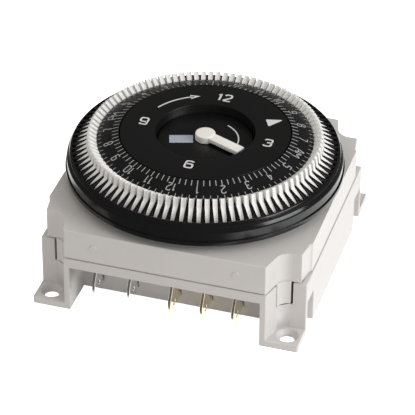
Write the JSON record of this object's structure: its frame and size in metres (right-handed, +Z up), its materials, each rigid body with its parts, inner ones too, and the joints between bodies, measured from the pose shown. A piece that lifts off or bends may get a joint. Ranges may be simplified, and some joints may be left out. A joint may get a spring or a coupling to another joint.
{
  "type": "segment time switch",
  "caption": "Square panel-mount time switch with a 24-hour dial, a ring of white trippers, a minute hand and push-on blades in a front recess.",
  "frame": {"origin": "centre of the mounting face, under the dial axis", "axes": "+X along the terminal edge, which faces -Y; +Z up the dial axis"},
  "size_m": [0.0734, 0.0734, 0.0381],
  "materials": {
    "housing_base": "fine moulded grain",
    "housing_cover": "fine moulded grain",
    "face_black": "satin moulded",
    "wheel_black": "satin moulded",
    "ring_grey": "matt moulded",
    "tripper_white": "satin moulded",
    "hand_white": "satin moulded",
    "tinned_blade": "tinned",
    "brass_blade": "stamped",
    "contact_silver": "polished",
    "turned_steel": "turned",
    "sheet_steel": "zinc plated",
    "plate_brass": "rolled",
    "gear_plastic": "moulded",
    "bobbin_plastic": "moulded",
    "copper_wire": "enamelled wire",
    "lead_red": "extruded sleeve",
    "magnet_grey": "sintered"
  },
  "bodies": {
    "housing": {"base_housing": "housing_base", "front_cover": "housing_cover", "bearing_tube": "turned_steel", "clock_face": "face_black", "terminal_supply_a": "tinned_blade", "terminal_supply_b": "tinned_blade", "terminal_open": "brass_blade", "terminal_common": "brass_blade", "terminal_closed": "brass_blade", "contact_open": "contact_silver", "contact_closed": "contact_silver", "movement_plate": "plate_brass", "plate_pillars": "turned_steel", "plate_screws": "turned_steel", "motor_can": "sheet_steel", "motor_lid": "sheet_steel", "motor_posts": "turned_steel", "coil_bobbin": "bobbin_plastic", "coil_winding": "copper_wire", "coil_leads": "lead_red", "stator_lower": "sheet_steel", "stator_upper": "sheet_steel", "lever_pin": "turned_steel"},
    "dial": {"programme_wheel": "wheel_black", "number_ring": "ring_grey", "tripper_wire": "turned_steel", "trippers": "tripper_white"},
    "hour": {"hour_disc": "face_black", "hour_pipe": "plate_brass"},
    "minute": {"minute_hand": "hand_white", "minute_arbor": "plate_brass", "clutch_spring": "plate_brass"},
    "intermediate": {"intermediate_wheel": "gear_plastic"},
    "rotor": {"rotor_magnet": "magnet_grey", "rotor_shaft": "turned_steel"},
    "reduction_1": {"reduction_gear_1": "gear_plastic"},
    "reduction_2": {"reduction_gear_2": "gear_plastic"},
    "reduction_3": {"reduction_gear_3": "gear_plastic"},
    "centre": {"centre_wheel": "plate_brass"},
    "lever": {"follower_lever": "gear_plastic", "lever_spring": "turned_steel"},
    "leaf": {"switch_leaf": "brass_blade", "leaf_contact": "contact_silver"},
    "tripper_1": {"tripper_1": "tripper_white"},
    "tripper_2": {"tripper_2": "tripper_white"},
    "tripper_3": {"tripper_3": "tripper_white"},
    "tripper_4": {"tripper_4": "tripper_white"},
    "tripper_5": {"tripper_5": "tripper_white"},
    "tripper_6": {"tripper_6": "tripper_white"},
    "tripper_7": {"tripper_7": "tripper_white"},
    "tripper_8": {"tripper_8": "tripper_white"}
  },
  "joints": [
    {"name": "dial_spin", "type": "hinge", "parent": "housing", "child": "dial", "pos_m": [0, 0, 0.031], "axis": [0, 0, -1], "continuous": true},
    {"name": "hour_turn", "type": "hinge", "parent": "housing", "child": "hour", "pos_m": [0, 0, 0.03], "axis": [0, 0, -1], "continuous": true},
    {"name": "minute_turn", "type": "hinge", "parent": "housing", "child": "minute", "pos_m": [0, 0, 0.03], "axis": [0, 0, -1], "continuous": true},
    {"name": "intermediate_turn", "type": "hinge", "parent": "housing", "child": "intermediate", "pos_m": [-0.01018, 0.01018, 0.022], "axis": [0, 0, -1], "continuous": true},
    {"name": "rotor_spin", "type": "hinge", "parent": "housing", "child": "rotor", "pos_m": [0, 0, 0.008], "axis": [0, 0, -1], "continuous": true},
    {"name": "reduction_1_turn", "type": "hinge", "parent": "housing", "child": "reduction_1", "pos_m": [0.01034, -0.00376, 0.012], "axis": [0, 0, -1], "continuous": true},
    {"name": "reduction_2_turn", "type": "hinge", "parent": "housing", "child": "reduction_2", "pos_m": [0.01109, 0.00721, 0.013], "axis": [0, 0, -1], "continuous": true},
    {"name": "reduction_3_turn", "type": "hinge", "parent": "housing", "child": "reduction_3", "pos_m": [-0.00113, 0.01295, 0.014], "axis": [0, 0, -1], "continuous": true},
    {"name": "centre_turn", "type": "hinge", "parent": "housing", "child": "centre", "pos_m": [0, 0, 0.0165], "axis": [0, 0, -1], "continuous": true},
    {"name": "lever_swing", "type": "hinge", "parent": "housing", "child": "lever", "pos_m": [0.02, -0.028, 0.0215], "axis": [0, 0, -1], "range_deg": [0, 10], "stiffness_Nm_per_rad": 0.005, "springref_deg": -11.46},
    {"name": "leaf_flex", "type": "hinge", "parent": "housing", "child": "leaf", "pos_m": [0.0094, -0.024, 0.0185], "axis": [0, 0, 1], "range_deg": [0, 4]},
    {"name": "tripper_1_tilt", "type": "hinge", "parent": "dial", "child": "tripper_1", "pos_m": [0.02759, 0.0154, 0.033], "axis": [-0.4875, 0.8731, 0], "range_deg": [0, 20]},
    {"name": "tripper_2_tilt", "type": "hinge", "parent": "dial", "child": "tripper_2", "pos_m": [0.01619, 0.02714, 0.033], "axis": [-0.8587, 0.5124, 0], "range_deg": [0, 20]},
    {"name": "tripper_3_tilt", "type": "hinge", "parent": "dial", "child": "tripper_3", "pos_m": [-0.02202, 0.02266, 0.033], "axis": [-0.7172, -0.6969, 0], "range_deg": [0, 20]},
    {"name": "tripper_4_tilt", "type": "hinge", "parent": "dial", "child": "tripper_4", "pos_m": [-0.0304, 0.00862, 0.033], "axis": [-0.2727, -0.9621, 0], "range_deg": [0, 20]},
    {"name": "tripper_5_tilt", "type": "hinge", "parent": "dial", "child": "tripper_5", "pos_m": [-0.02266, -0.02202, 0.033], "axis": [0.6969, -0.7172, 0], "range_deg": [0, 20]},
    {"name": "tripper_6_tilt", "type": "hinge", "parent": "dial", "child": "tripper_6", "pos_m": [-0.00862, -0.0304, 0.033], "axis": [0.9621, -0.2727, 0], "range_deg": [0, 20]},
    {"name": "tripper_7_tilt", "type": "hinge", "parent": "dial", "child": "tripper_7", "pos_m": [0.02202, -0.02266, 0.033], "axis": [0.7172, 0.6969, 0], "range_deg": [0, 20]},
    {"name": "tripper_8_tilt", "type": "hinge", "parent": "dial", "child": "tripper_8", "pos_m": [0.0304, -0.00862, 0.033], "axis": [0.2727, 0.9621, 0], "range_deg": [0, 20]}
  ],
  "couplings": [
    {"joint": "hour_turn", "follows": "dial_spin", "ratio": 2},
    {"joint": "minute_turn", "follows": "dial_spin", "ratio": 24},
    {"joint": "intermediate_turn", "follows": "dial_spin", "ratio": -8},
    {"joint": "reduction_1_turn", "follows": "rotor_spin", "ratio": -0.1},
    {"joint": "reduction_2_turn", "follows": "rotor_spin", "ratio": 0.01},
    {"joint": "reduction_3_turn", "follows": "rotor_spin", "ratio": -0.0008},
    {"joint": "centre_turn", "follows": "rotor_spin", "ratio": 0.000066667},
    {"joint": "leaf_flex", "follows": "lever_swing", "ratio": 0.4}
  ]
}
